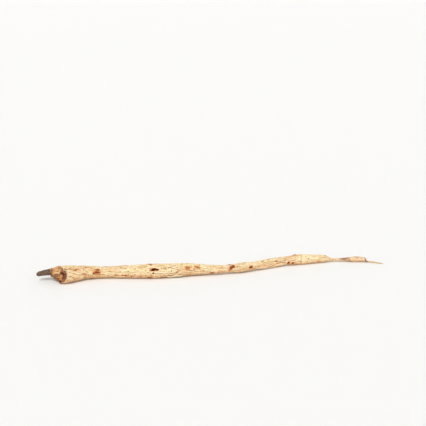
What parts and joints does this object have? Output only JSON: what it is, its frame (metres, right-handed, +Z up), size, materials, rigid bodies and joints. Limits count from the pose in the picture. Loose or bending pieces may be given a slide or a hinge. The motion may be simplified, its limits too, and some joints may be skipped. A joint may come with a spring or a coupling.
{
  "type": "dried glehnia root",
  "caption": "Slender dried taproot lying flat: knobbly cut crown with a withered dark stem base at one end, tapering through gentle bends to a thin hair-like tail.",
  "frame": {"origin": "middle of the root's footprint on the surface it rests on", "axes": "+X along the root from crown to tail, +Z up from the surface"},
  "size_m": [0.2728, 0.0208, 0.0117],
  "materials": {
    "dried_skin": "dry, matt, cream to tan skin with fine lengthwise wrinkles and reddish-brown scars"
  },
  "bodies": {
    "root": {"glehnia_root": "dried_skin"}
  },
  "joints": []
}
